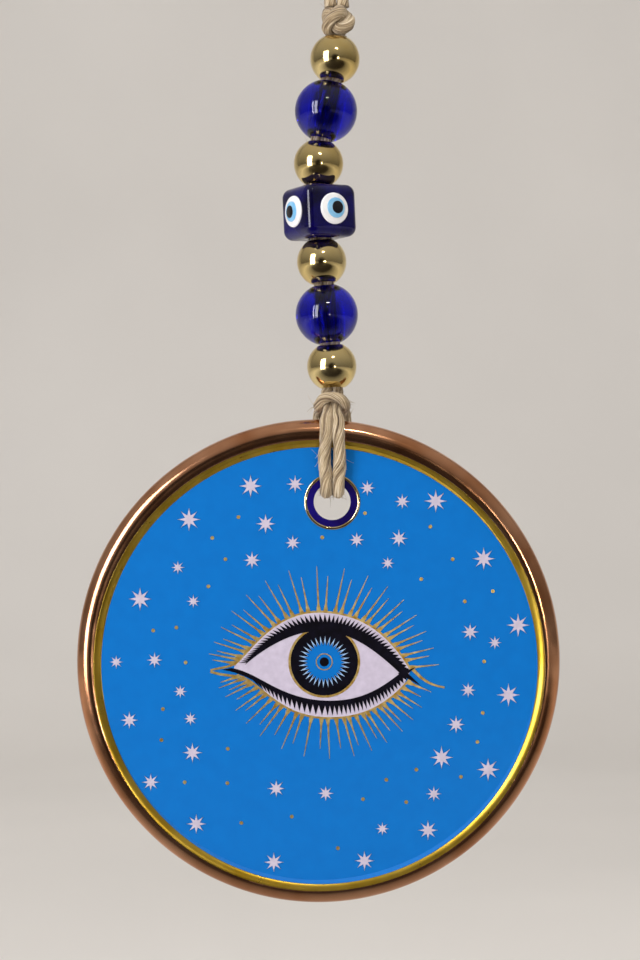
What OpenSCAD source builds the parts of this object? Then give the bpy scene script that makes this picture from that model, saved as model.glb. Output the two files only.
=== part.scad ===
// Evil eye ornament: a gilded ceramic disc with a printed eye, hung on jute twine strung with beads.
// Millimetres, +Z up. The printed face looks along -Y.
// The origin is the centre of the nail that the hanging loop goes over.

/* [Disc] */
// Outside diameter of the ceramic disc
disc_d = 100; // [84:1:120]
// Thickness of the disc from its back to the printed face
disc_t = 6; // [5:0.5:8]
// Radius of the rim's round section
rim_r = 2.8; // [2.3:0.1:3.4]
// Height of the rim's crest above the printed face
rim_rise = 1; // [0.6:0.1:1.4]
// Angle that the disc leans to the right as it hangs, in degrees
disc_lean = 4.9; // [0:0.1:8]

/* [Hanging hole] */
// Diameter of the hole in the disc
hole_d = 7.6; // [6.8:0.1:10]
// Distance from the disc's edge to the centre of the hole
hole_inset = 16.9; // [14:0.1:21]
// Width of the navy ring round the hole
navy_w = 1.4; // [0.8:0.1:2]
// Width of the gold line round the navy ring
outline_w = 0.6; // [0.3:0.1:1]

/* [Print] */
// Distance from the disc's edge to the blue field
field_inset = 5; // [4.5:0.1:6]
// Width of the gold foil band round the blue field
foil_w = 1.5; // [1:0.1:2]
// Distance that the transfer sits below the middle of the disc
print_drop = 0.8; // [0:0.1:1]
// Angle of the eye against the field, in degrees clockwise
eye_turn = 2.1; // [0:0.1:5]
// Thickness of the glaze, lustre and foil
glaze_t = 0.1; // [0.08:0.01:0.2]
// Thickness of one printed layer
ink_t = 0.06; // [0.04:0.01:0.1]

/* [Eye] */
// Radius of the gold ring round the iris
iris_r = 7.4; // [6.6:0.1:7.6]
// Width of the gold ring round the iris
iris_ring_w = 0.45; // [0.3:0.05:0.7]
// Number of points on the iris's star
iris_points = 32; // [24:1:40]
// Number of lashes on the upper lid
upper_lashes = 52; // [36:2:64]
// Number of lashes on the lower lid
lower_lashes = 44; // [30:2:56]
// Number of gold rays above the eye
upper_rays = 32; // [20:1:40]
// Number of gold rays below the eye
lower_rays = 30; // [20:1:40]

/* [Beads] */
// Diameter of the gold beads
gold_d = 10.3; // [9:0.1:12.4]
// Diameter of the blue glass beads
blue_d = 13; // [11:0.1:15.6]
// Width of the cube bead
cube_w = 12; // [10:0.1:14.4]
// Length of the cube bead along the twine
cube_h = 10.8; // [9:0.1:13]
// Radius of the cube bead's edges
cube_edge = 1.6; // [1:0.1:2]
// Angle that the cube bead is turned about the twine, in degrees
cube_turn = 31; // [0:1:45]
// Diameter of the bores through the beads
bore_d = 4.8; // [4.6:0.1:6]
// Diameter of the white eye dots on the cube bead
dot_d = 6.9; // [5:0.1:7.2]

/* [Twine] */
// Diameter of the jute twine
twine_d = 2.4; // [2:0.1:2.5]
// Diameter of the twine where the beads squeeze it
core_d = 2; // [1.7:0.05:2.05]
// Distance from the nail's centre down to the knot above the beads
loop_drop = 56; // [40:1:70]
// Height of the knot above the beads
knot_h = 6; // [5:0.1:8]
// Diameter of the knots
knot_d = 7.2; // [6.2:0.1:8.4]
// Diameter of the nail that the loop hangs on
nail_d = 3; // [2:0.1:4]

/* [Hidden] */
$fn = 64;

// Colours
c_ceramic = "#EDEAE4";
c_lustre = "#B0703F";
c_foil = "#A98F2C";
c_field = "#0072CE";
c_navy = "#10005A";
c_white = "#E4DEEC";
c_ink = "#08061A";
c_glass = "#0A12B8";
c_gold = "#CDB468";
c_pale = "#8FC3E8";
c_twine = "#B8A07A";

// Disc, in its own frame: the back lies on z = 0, the face looks up, and the hole is at the origin
disc_r = disc_d / 2;
rim_rc = disc_r - rim_r;
rim_zc = disc_t + rim_rise - rim_r;
back_chamfer = 0.8;
lustre_low = 1.6;
hole_r = hole_d / 2;
hole_up = disc_r - hole_inset;
field_d = disc_d - 2 * field_inset;
field_r = field_d / 2;

// Beads, from the bottom of the string up
RADIUS = [gold_d, blue_d, gold_d, cube_w, gold_d, blue_d, gold_d] / 2;
bore_r = bore_d / 2;
function half_length(i) = i == 3 ? cube_h / 2 : sqrt(pow(RADIUS[i], 2) - pow(bore_r, 2));
// Clearance above each bead
GAP = [0.2, 0.36, 0.2, 0.28, 0.36, 0.2, 0.25];
// Where the twine runs, and where each bead has slipped to on it, measured sideways from the nail
TWINE_X = [2.5, 1.95, 0.7, 0, -0.5, 0, 2.25, 3.4];
BEAD_X = [2.35, 1.3, 0.25, -0.3, -0.4, 1.15, 3];
bead_count = len(BEAD_X);
function bead_pitch(i) = 2 * half_length(i) + GAP[i];
function sum_below(i) = i == 0 ? 0 : sum_below(i - 1) + bead_pitch(i - 1);
string_h = sum_below(bead_count);
string_top = -loop_drop - knot_h;
string_low = string_top - string_h;
function joint_z(i) = string_low + sum_below(i);
function bead_z(i) = joint_z(i) + half_length(i);
function bead_tilt(i) = atan2(TWINE_X[i + 1] - TWINE_X[i], bead_pitch(i));

// Hanging hole, below the string
// Distance from the lowest bead down to the disc's top edge
throat_h = 6.6;
neck_h = throat_h + hole_inset;
hole_x = 2.4;
hole_z = string_low - neck_h;

// ---- Disc ----

module hung_disc() {
    translate([hole_x, disc_t / 2, hole_z])
        rotate([0, disc_lean, 0])
            rotate([90, 0, 0])
                children();
}

module at_disc_centre() {
    translate([0, -hole_up, 0])
        children();
}

// The transfer stands upright when the disc leans
module at_field(z) {
    translate([0, -hole_up, z])
        rotate([0, 0, disc_lean])
            translate([0.2, -print_drop, 0])
                children();
}

module disc_section(skin) {
    difference() {
        union() {
            square([rim_rc, disc_t - skin]);
            translate([rim_rc, 0])
                square([rim_r - skin, rim_zc]);
            translate([rim_rc, rim_zc])
                circle(rim_r - skin);
        }
        translate([disc_r, 0])
            rotate(45)
                square(back_chamfer * sqrt(2), center = true);
    }
}

// The thin coat on the face, over the rim and part of the way down the edge
module coat() {
    at_disc_centre()
        rotate_extrude($fn = 128)
            difference() {
                disc_section(0);
                disc_section(glaze_t);
                square([disc_r + 1, lustre_low]);
            }
}

module field_cylinder(r) {
    at_field(lustre_low)
        cylinder(r = r, h = disc_t);
}

module hole_cylinder(r) {
    translate([0, 0, -1])
        cylinder(r = r, h = disc_t + 2);
}

module ceramic_disc() {
    color(c_ceramic)
        hung_disc()
            difference() {
                at_disc_centre()
                    rotate_extrude($fn = 128)
                        disc_section(glaze_t);
                hole_cylinder(hole_r);
            }
}

module lustre_rim() {
    color(c_lustre)
        hung_disc()
            difference() {
                coat();
                field_cylinder(field_r + foil_w);
            }
}

module foil_band() {
    color(c_foil)
        hung_disc()
            difference() {
                intersection() {
                    coat();
                    field_cylinder(field_r + foil_w);
                }
                field_cylinder(field_r);
            }
}

module blue_field() {
    color(c_field)
        hung_disc()
            difference() {
                intersection() {
                    coat();
                    field_cylinder(field_r);
                }
                hole_cylinder(hole_r + navy_w + outline_w);
            }
}

module hole_band(inner_r, outer_r) {
    translate([0, 0, disc_t - glaze_t])
        difference() {
            cylinder(r = outer_r, h = glaze_t + ink_t);
            translate([0, 0, -1])
                cylinder(r = inner_r, h = 2);
        }
}

module hole_ring() {
    color(c_navy)
        hung_disc()
            hole_band(hole_r, hole_r + navy_w);
}

module hole_outline() {
    color(c_gold)
        hung_disc()
            hole_band(hole_r + navy_w, hole_r + navy_w + outline_w);
}

// ---- Printed stars and dots ----

// Size in thousandths, sideways and upward from the middle of the field
STARS = [
    [22, -14.2, 37.0], [17, -5.0, 37.4], [22, -26.9, 30.1], [19, -11.1, 29.2], [15, -5.5, 25.3],
    [17, -13.9, 21.7], [13, -29.2, 20.2], [22, -37.0, 13.7], [13, -26.0, 13.2], [13, -41.9, 0.7],
    [15, -34.0, 1.1], [15, 9.9, 36.6], [15, 17.1, 33.8], [22, 24.0, 33.9], [17, 16.4, 26.2],
    [15, 7.7, 25.9], [13, 14.1, 21.1], [22, 33.9, 22.0], [17, 31.1, 6.9], [22, 41.0, 8.3],
    [13, 36.2, 4.7], [13, -28.7, -5.4], [17, -39.2, -11.3], [13, -26.6, -11.0], [19, -26.2, -18.0],
    [17, -34.8, -24.1], [19, -25.4, -32.7], [17, -8.9, -25.4], [15, 1.3, -26.4], [19, -9.4, -40.6],
    [15, 30.7, -5.1], [22, 39.0, -6.1], [17, 28.2, -12.2], [22, 25.2, -19.0], [22, 34.8, -21.5],
    [15, 23.6, -26.5], [13, 13.0, -33.7], [19, 22.4, -34.0], [19, 9.3, -40.3]];

DOTS = [
    [-16.7, 30.6], [-22.1, 26.3], [-19.4, 21.9], [-22.9, 16.3], [-29.5, 7.8], [-34.3, 7.2],
    [-27.6, 0.6], [0.6, 26.4], [9.4, 31.4], [22.9, 28.6], [27.5, 21.9], [21.0, 17.8],
    [35.8, 15.3], [30.0, 13.2], [34.0, 0.8], [-32.3, -9.0], [-32.6, -15.4], [-18.9, -17.2],
    [-27.8, -24.1], [-19.0, -24.3], [-16.1, -32.5], [-5.7, -31.2], [3.8, -37.7], [33.7, -9.8],
    [32.6, -15.8], [29.2, -23.0], [20.0, -21.5], [13.8, -23.6], [9.0, -27.6], [17.9, -28.2]];
dot_r = 0.38;

// A transfer made for a larger or smaller field is the same drawing, scaled
print_scale = field_d / 90;

function star_points(long, short, n) = [
    for (i = [0:2 * n - 1])
        let(r = i % 2 == 0 ? long : short, a = 90 + 180 * i / n)
            [r * cos(a), r * sin(a)]];

module star_field(layer, long, short) {
    at_field(disc_t + layer * ink_t)
        for (s = STARS)
            translate([s[1] * print_scale, s[2] * print_scale, 0])
                linear_extrude(ink_t)
                    polygon(star_points(long * s[0] / 10, short * s[0] / 10, 8));
}

module gold_dots() {
    color(c_gold)
        hung_disc()
            at_field(disc_t)
                for (p = DOTS)
                    translate(p * print_scale)
                        cylinder(r = dot_r, h = ink_t, $fn = 16);
}

module star_tips() {
    color(c_gold)
        hung_disc()
            star_field(0, 1.1, 0.3);
}

module white_stars() {
    color(c_white)
        hung_disc()
            star_field(1, 0.95, 0.4);
}

// ---- Printed eye, drawn round the middle of the iris ----

function bezier(p, n) = [
    for (i = [0:n])
        let(t = i / n, u = 1 - t)
            u * u * u * p[0] + 3 * u * u * t * p[1] + 3 * u * t * t * p[2] + t * t * t * p[3]];
function rest_of(list) = [for (i = [1:len(list) - 1]) list[i]];
function reversed(list) = [for (i = [len(list) - 1:-1:0]) list[i]];
function two_arcs(a, b, n) = concat(bezier(a, n), rest_of(bezier(b, n)));
function unit(v) = v / norm(v);
function left_of(v) = [-v[1], v[0]];
// A line moved sideways, to its left, by a distance that runs from d0 to d1
function beside(line, d0, d1) = [
    for (i = [0:len(line) - 1])
        let(a = line[max(i - 1, 0)], b = line[min(i + 1, len(line) - 1)], f = i / (len(line) - 1))
            line[i] + (d0 + (d1 - d0) * f) * left_of(unit(b - a))];

// Outer edges of the gold outline, from the left corner to the right
upper_gold = [[[-18.7, -1.2], [-15.5, 1.5], [-11, 10.5], [-0.8, 10.5]],
    [[-0.8, 10.5], [8.5, 10.5], [13.8, 5.6], [18.2, -1]]];
lower_gold = [[[-18, -3.6], [-13, -4.6], [-9.5, -11.8], [0.6, -11.8]],
    [[0.6, -11.8], [8.5, -11.8], [13.5, -8.6], [17.8, -3.2]]];
// Edges of the black lids that meet the white of the eye
upper_white = [[[-16.3, -1.2], [-12.2, 2.6], [-6.5, 6.3], [-0.8, 6.3]],
    [[-0.8, 6.3], [5.2, 6.3], [10, 3.2], [15.7, -1.8]]];
lower_white = [[[-19.1, -2], [-13.5, -2.6], [-9, -8], [0.5, -8]],
    [[0.5, -8], [7.5, -8], [11.5, -5.4], [15.7, -1.8]]];
// Edges of the black lids that the lashes stand on
upper_black = [[[-16.3, -1.2], [-14, 2.6], [-8.5, 8.2], [-0.5, 8.2]],
    [[-0.5, 8.2], [6.5, 8.2], [11.5, 5], [17.3, -1.2]]];
lower_black = [[[-21, -2.4], [-13.5, -3.2], [-9.3, -9], [0.5, -9]],
    [[0.5, -9], [7.8, -9], [12.2, -6.2], [17, -2.2]]];
gold_w = 0.4;
lash_reach = 0.86;
// The lower lashes begin this share of the way along the lid
lash_start = 0.3;
arc_steps = 16;

function gold_inner(arcs, n, side) = beside(two_arcs(arcs[0], arcs[1], n), side * gold_w, side * gold_w);

// Teeth that stand on one line and reach most of the way to another
function teeth(root, reach, first) = [
    for (i = [0:len(root) - 2])
        let(mid = (root[i] + root[i + 1]) / 2, far = (reach[i] + reach[i + 1]) / 2)
            for (p = i < first ? [root[i], mid, root[i + 1]]
                : [root[i], mid + lash_reach * (far - mid), root[i + 1]]) p];

module at_eye(layer) {
    at_field(disc_t + layer * ink_t)
        scale(print_scale)
            translate([1, 0.75, 0])
                rotate([0, 0, -eye_turn])
                    children();
}

module lid_shapes() {
    upper_n = upper_lashes / 2;
    lower_n = lower_lashes / 2;
    polygon(concat(
        two_arcs(upper_white[0], upper_white[1], upper_n),
        reversed(teeth(two_arcs(upper_black[0], upper_black[1], upper_n), gold_inner(upper_gold, upper_n, -1), 1))));
    polygon(concat(
        two_arcs(lower_white[0], lower_white[1], lower_n),
        reversed(teeth(two_arcs(lower_black[0], lower_black[1], lower_n), gold_inner(lower_gold, lower_n, 1),
            round(lash_start * lower_n)))));
    // The crossed corner and its flick
    polygon([[15.2, -1.8], [16.6, -1.4], [18.9, -0.4], [17.4, -1.8], [20.1, -4.2], [16.8, -2.6]]);
}

module eye_white() {
    color(c_white)
        hung_disc()
            at_eye(0)
                linear_extrude(ink_t)
                    polygon(concat(
                        gold_inner(upper_gold, arc_steps, -1),
                        [[17.2, -2.6]],
                        reversed([for (i = [6:2 * arc_steps - 1]) gold_inner(lower_gold, arc_steps, 1)[i]]),
                        [[-14.5, -3.6], [-18.6, -2.3]]));
}

module eyelids() {
    color(c_ink)
        hung_disc()
            at_eye(1)
                linear_extrude(ink_t)
                    lid_shapes();
}

// A ray with a broad root and a thin point
module ray(length) {
    polygon([[-0.3, -0.45], [0.35, -0.42], [1.4, -0.2], [length, -0.05], [length, 0.05], [1.4, 0.2], [0.35, 0.42],
        [-0.3, 0.45]]);
}

// Rays that fan out from a centre, long and short by turns, longest in the middle
module ray_fan(arcs, count, centre, long, short, ends) {
    line = two_arcs(arcs[0], arcs[1], 40);
    for (i = [0:count - 1]) {
        f = (i + 0.5) / count;
        p = line[round(f * 80)];
        d = p - centre;
        middle = sin(180 * f);
        translate(p)
            rotate(atan2(d[1], d[0]))
                ray((i % 2 == 0 ? short : long) * (ends + (1 - ends) * middle));
    }
}

// A line of gold that tapers from one width to another
module stroke(arc, w0, w1) {
    line = bezier(arc, 8);
    polygon(concat(beside(line, w0 / 2, w1 / 2), reversed(beside(line, -w0 / 2, -w1 / 2))));
}

module gold_band(arcs, side) {
    polygon(concat(two_arcs(arcs[0], arcs[1], arc_steps), reversed(gold_inner(arcs, arc_steps, side))));
}

module eye_gold_lines() {
    color(c_gold)
        hung_disc()
            at_eye(0)
                linear_extrude(ink_t) {
                    gold_band(upper_gold, -1);
                    gold_band(lower_gold, 1);
                    ray_fan(upper_gold, upper_rays, [-0.5, -3], 9.2, 7.2, 0.62);
                    ray_fan(lower_gold, lower_rays, [0, 3], 8.2, 6.2, 0.6);
                    stroke([[18.1, -0.7], [20, -2.6], [21.5, -4], [25, -4.4]], 0.7, 0.35);
                    stroke([[17.5, -3], [18.2, -4], [19, -4.5], [20.4, -4.8]], 0.5, 0.1);
                    stroke([[-18.5, -1.1], [-20, -2], [-21.5, -2], [-23.4, -2.6]], 0.5, 0.4);
                    stroke([[-17.8, -3.7], [-19.6, -3.5], [-21.5, -3.5], [-23.4, -2.9]], 0.5, 0.5);
                }
}

module iris_piece(layer, outer_r, inner_r) {
    at_eye(layer)
        linear_extrude(ink_t)
            difference() {
                circle(outer_r);
                circle(inner_r);
                lid_shapes();
            }
}

module iris_ring() {
    color(c_gold)
        hung_disc()
            iris_piece(1, iris_r, iris_r - iris_ring_w);
}

module iris_ground() {
    color(c_ink)
        hung_disc()
            at_eye(1)
                linear_extrude(ink_t)
                    difference() {
                        circle(iris_r - iris_ring_w);
                        lid_shapes();
                    }
}

module iris_star(layer, long, short) {
    at_eye(layer)
        linear_extrude(ink_t)
            polygon(star_points(long, short, iris_points));
}

module iris_rays() {
    color(c_white)
        hung_disc()
            iris_star(2, iris_r * 0.72, iris_r * 0.44);
}

module iris_core() {
    color(c_field)
        hung_disc()
            iris_star(3, iris_r * 0.58, iris_r * 0.45);
}

module pupil_ring() {
    color(c_gold)
        hung_disc()
            at_eye(4)
                linear_extrude(ink_t)
                    difference() {
                        circle(1.75);
                        circle(1.55);
                    }
}

module pupil() {
    color(c_ink)
        hung_disc()
            at_eye(4)
                cylinder(r = 0.95, h = ink_t);
}

// ---- Beads ----

module on_string(i) {
    translate([BEAD_X[i], 0, bead_z(i)])
        rotate([0, bead_tilt(i), 0])
            children();
}

module bead_bore() {
    cylinder(r = bore_r, h = 2 * blue_d, center = true);
}

module round_bead(i) {
    on_string(i)
        difference() {
            sphere(RADIUS[i]);
            bead_bore();
        }
}

module gold_bead(i) {
    color(c_gold)
        round_bead(i);
}

module blue_bead(i) {
    color(c_glass)
        round_bead(i);
}

module gold_bead_1() {
    gold_bead(0);
}

module blue_bead_1() {
    blue_bead(1);
}

module gold_bead_2() {
    gold_bead(2);
}

module gold_bead_3() {
    gold_bead(4);
}

module blue_bead_2() {
    blue_bead(5);
}

module gold_bead_4() {
    gold_bead(6);
}

module rounded_block(size, r) {
    hull()
        for (x = [-1, 1])
            for (y = [-1, 1])
                for (z = [-1, 1])
                    translate([x * (size[0] / 2 - r), y * (size[1] / 2 - r), z * (size[2] / 2 - r)])
                        sphere(r, $fn = 32);
}

cube_at = 3;

module cube_bead() {
    color(c_glass)
        on_string(cube_at)
            rotate([0, 0, cube_turn])
                difference() {
                    rounded_block([cube_w, cube_w, cube_h], cube_edge);
                    bead_bore();
                }
}

// The same round dot on each of the cube bead's four side faces
module four_dots(d, low, high) {
    on_string(cube_at)
        for (a = [0:90:270])
            rotate([0, 0, cube_turn + a])
                translate([0, -cube_w / 2 - low, 0])
                    rotate([90, 0, 0])
                        cylinder(r = d / 2, h = high - low);
}

module cube_eye_whites() {
    color(c_white)
        four_dots(dot_d, 0, 0.2);
}

module cube_eye_blues() {
    color(c_pale)
        four_dots(dot_d * 0.66, 0.2, 0.35);
}

module cube_eye_pupils() {
    color(c_ink)
        four_dots(dot_d * 0.42, 0.35, 0.5);
}

// ---- Twine ----

twine_r = twine_d / 2;
core_r = core_d / 2;
// Clearance between the twine and what it lies against
lie = 0.08;
front_y = -disc_t / 2 - twine_r - 3 * lie;
crest_y = front_y - rim_rise;
back_y = disc_t / 2 + twine_r + lie;
// Centre of the twine below the top of the hole
in_hole = hole_r - twine_r - 5 * lie;
edge_z = hole_inset;
side_x = twine_r + 0.5 * lie;
// Where the hitch pulls tight it squeezes the twine
tight_r = twine_r - 0.34;
tight_x = tight_r + 0.5 * lie;
core_x = core_r + 0.25 * lie;
wrap_r = nail_d / 2 + twine_r + lie;
sides = 8;

// Half of the twine's route: its tail, over the nail, down the loop and the string, over the front of the
// disc, through the hole and up behind to the middle of the bight. The other strand is its mirror image.
// A point is sideways from the middle of the pair, front to back, and upward, then the twine's radius.
TAIL = [[3.4, -1.6, 17, twine_r], [1.9, -0.5, 12.5, twine_r], [side_x, 0, 9.2, twine_r]];
CROWN = [[side_x, 0, 4.4, twine_r], [1.5, 0, 2.5, twine_r], [2.5, 0, 1.3, twine_r],
    [wrap_r, 0, -1, twine_r], [wrap_r, 0, -5, twine_r]];
LEGS = [[2.9, 0, -8, twine_r], [3.1, 0, -26, twine_r], [side_x, 0, -loop_drop + 2 * lie, twine_r]];
// Measured down from the lowest bead
NECK = [[side_x, 0.1, -0.9, core_r], [tight_x, -0.4, -2.4, tight_r]];
// Measured up from the middle of the hole
FRONT = [[tight_x, -1.6, edge_z + 3.4, tight_r], [tight_x, -3.3, edge_z + 1.5, tight_r],
    [side_x, crest_y + 0.7, edge_z - 0.5, twine_r], [side_x, crest_y, edge_z - 2.8, twine_r],
    [side_x + 2 * lie, front_y - 0.3, edge_z - 8.4, twine_r], [side_x + lie, front_y, hole_r + 1.4, twine_r],
    [side_x, front_y, hole_r - 0.7, twine_r], [side_x, front_y + 1.1, in_hole - 0.15, twine_r],
    [side_x, 0, in_hole, twine_r]];
BACK = [[side_x, back_y - 1, in_hole - 0.2, twine_r], [side_x, back_y + 0.05, hole_r - 0.75, twine_r],
    [side_x + 0.1, back_y + 0.1, hole_r + 1.2, twine_r], [1.9, back_y, 8, twine_r],
    [2.9, back_y + 0.1, edge_z - 2.5, twine_r], [3.1, back_y - 0.2, edge_z + 0.9, core_r],
    [2.8, 1.9, edge_z + 2, tight_r]];
BIGHT = [[2.75, -2.2, edge_z + 3.2, tight_r], [1.65, -3.55, edge_z + 4.4, tight_r],
    [0, -3.75, edge_z + 4.7, tight_r]];

function placed(points, side, x, z) = [for (p = points) [x + side * p[0], p[1], z + p[2], p[3]]];
// The loop leans from under the nail to the top of the string
function leaning(points, side) = [
    for (p = points)
        [side * p[0] - TWINE_X[bead_count] * p[2] / loop_drop, p[1], p[2], p[3]]];
function strung(side) = [
    for (i = [bead_count:-1:0])
        [TWINE_X[i] + side * core_x, 0, joint_z(i), core_r]];
function half_route(side) = concat(
    placed(TAIL, side, 0, 0), placed(CROWN, side, 0, 0), leaning(LEGS, side), strung(side),
    placed(NECK, side, hole_x, string_low), placed(FRONT, side, hole_x, hole_z),
    placed(BACK, side, hole_x, hole_z), placed(BIGHT, side, hole_x, hole_z));
ROUTE = concat(half_route(1), rest_of(reversed(half_route(-1))));

// Numbers of the rings where one stretch of the twine ends and the next begins
r_tail = len(TAIL) - 1;
r_crown = r_tail + 1;
r_legs = r_tail + len(CROWN);
r_legs_end = r_legs + len(LEGS);
r_string = r_legs_end + 1;
r_neck = r_legs_end + bead_count + 1;
r_front = r_neck + len(NECK);
r_back = r_front + len(FRONT);
r_bight = r_back + len(BACK);
last_ring = len(ROUTE) - 1;

function place(i) = [ROUTE[i][0], ROUTE[i][1], ROUTE[i][2]];
function heading(i) = unit(place(min(i + 1, last_ring)) - place(max(i - 1, 0)));
function square_to(v, t) = unit(v - (v * t) * t);
// A direction square to the twine at each ring, carried along without twisting
ACROSS = [for (i = 0, v = square_to([0, -1, 0], heading(0)); i <= last_ring;
    i = i + 1, v = i > last_ring ? v : square_to(v, heading(i))) v];
function ring(i) = [
    for (k = [0:sides - 1])
        let(a = 360 * k / sides, u = ACROSS[i], w = cross(heading(i), u))
            place(i) + ROUTE[i][3] * (cos(a) * u + sin(a) * w)];

module twine(first, last) {
    n = last - first;
    points = [for (i = [first:last]) for (p = ring(i)) p];
    walls = [
        for (i = [0:n - 1])
            for (k = [0:sides - 1])
                let(a = i * sides + k, b = i * sides + (k + 1) % sides)
                    for (f = [[a, b, b + sides], [a, b + sides, a + sides]]) f];
    start = [for (k = [sides - 1:-1:0]) k];
    finish = [for (k = [0:sides - 1]) n * sides + k];
    polyhedron(points, concat(walls, [start, finish]));
}

module both_strands(first, last) {
    color(c_twine) {
        twine(first, last);
        twine(last_ring - last, last_ring - first);
    }
}

// A knot narrows to the width of its two strands at either end
module knot(low, high) {
    h = high - low;
    translate([0, 0, (low + high) / 2])
        intersection() {
            cylinder(d = knot_d, h = h, center = true);
            sphere(norm([h / 2, core_d + lie]));
        }
}

module end_knot() {
    color(c_twine)
        knot(CROWN[0][2] + lie, TAIL[len(TAIL) - 1][2] - 2 * lie);
}

module twine_tails() {
    both_strands(0, r_tail);
}

module loop_crown() {
    both_strands(r_crown, r_legs);
}

module loop_shoulders() {
    both_strands(r_legs, r_legs + 1);
}

module loop_legs() {
    both_strands(r_legs + 1, r_legs_end);
}

module bead_knot() {
    color(c_twine)
        translate([TWINE_X[bead_count], 0, 0])
            knot(string_top, -loop_drop);
}

module bead_strands() {
    both_strands(r_string, r_neck);
}

module neck_strands() {
    both_strands(r_neck, r_front);
}

module hitch_strands() {
    both_strands(r_front, r_back);
}

module hitch_legs() {
    both_strands(r_back, r_bight);
}

module hitch_bight() {
    color(c_twine)
        twine(r_bight, last_ring - r_bight);
}

ceramic_disc();
lustre_rim();
foil_band();
blue_field();
hole_ring();
hole_outline();
gold_dots();
star_tips();
white_stars();
eye_white();
eye_gold_lines();
eyelids();
iris_ring();
iris_ground();
iris_rays();
iris_core();
pupil_ring();
pupil();
gold_bead_1();
blue_bead_1();
gold_bead_2();
cube_bead();
gold_bead_3();
blue_bead_2();
gold_bead_4();
cube_eye_whites();
cube_eye_blues();
cube_eye_pupils();
end_knot();
twine_tails();
loop_crown();
loop_shoulders();
loop_legs();
bead_knot();
bead_strands();
neck_strands();
hitch_strands();
hitch_legs();
hitch_bight();
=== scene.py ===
"""Evil eye ornament: a gilded ceramic disc with a printed eye, hung on jute twine strung with beads."""

import math

import bpy
import numpy as np
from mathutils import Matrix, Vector


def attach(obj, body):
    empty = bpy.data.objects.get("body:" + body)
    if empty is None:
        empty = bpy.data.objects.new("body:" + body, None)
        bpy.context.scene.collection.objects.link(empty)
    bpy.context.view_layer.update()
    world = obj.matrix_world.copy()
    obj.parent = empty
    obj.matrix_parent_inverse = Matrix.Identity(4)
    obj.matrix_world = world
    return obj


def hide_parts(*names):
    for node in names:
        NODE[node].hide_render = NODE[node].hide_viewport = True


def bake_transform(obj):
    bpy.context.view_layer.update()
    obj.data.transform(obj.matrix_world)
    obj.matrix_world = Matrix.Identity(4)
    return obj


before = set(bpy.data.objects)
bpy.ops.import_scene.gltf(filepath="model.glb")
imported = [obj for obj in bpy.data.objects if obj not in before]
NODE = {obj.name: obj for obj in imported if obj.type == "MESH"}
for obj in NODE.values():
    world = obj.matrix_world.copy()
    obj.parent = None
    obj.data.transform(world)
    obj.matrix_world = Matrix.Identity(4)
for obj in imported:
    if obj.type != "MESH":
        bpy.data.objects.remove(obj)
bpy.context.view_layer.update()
MM = 0.001
rng = np.random.default_rng(7)

# ---- Camera ----

camera_data = bpy.data.cameras.new("camera")
camera_data.lens = 72.7
camera = bpy.data.objects.new("camera", camera_data)
camera.location = (-0.0001, -0.403, -0.1543)
camera.rotation_euler = (math.radians(90), 0, 0)
bpy.context.scene.collection.objects.link(camera)
bpy.context.scene.camera = camera
bpy.context.scene.view_settings.view_transform = "Standard"

# ---- Sizes shared with the CAD part, in millimetres ----

DISC_R, DISC_T = 50, 6
RIM_R, RIM_RC, RIM_ZC = 2.8, 47.2, 4.2
FIELD_R, FOIL_W, COAT = 45, 1.5, 0.1
LUSTRE_LOW = 1.6
LEAN = math.radians(4.9)
HOLE_X, HOLE_Z, HOLE_UP = 2.4, -158.765, 33.1
FIELD_OFF = (0.2676, -0.78)
BORE_R = 2.4
JOINT_Z = [-135.265, -125.952, -113.511, -104.198, -93.118, -83.645, -71.363, -62]
TWINE_X = [2.5, 1.95, 0.7, 0, -0.5, 0, 2.25, 3.4]
BEAD_X = [2.35, 1.3, 0.25, -0.3, -0.4, 1.15, 3]
BEAD_Z = [-130.709, -119.912, -108.954, -98.798, -88.561, -77.604, -66.807]
BEAD_TILT = [-3.38, -5.737, -4.298, -2.584, 3.021, 10.382, 7.002]
BEADS = ["gold_bead_1", "blue_bead_1", "gold_bead_2", "cube_bead",
         "gold_bead_3", "blue_bead_2", "gold_bead_4"]
GOLD_R, BLUE_R = 5.15, 6.5
CUBE_HALF, CUBE_HALF_H, CUBE_EDGE, CUBE_TURN = 6.0, 5.4, 2.0, 31.0
TWINE_R, CORE_R, TIGHT_R = 1.2, 1.0, 0.96
LOOP_DROP, LOOP_LEAN = 56, 3.4

# ---- Surfaces ----


def along(v):
    """Vectors brought to length one."""
    return v / np.maximum(np.linalg.norm(v, axis=-1, keepdims=True), 1e-12)


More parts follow.
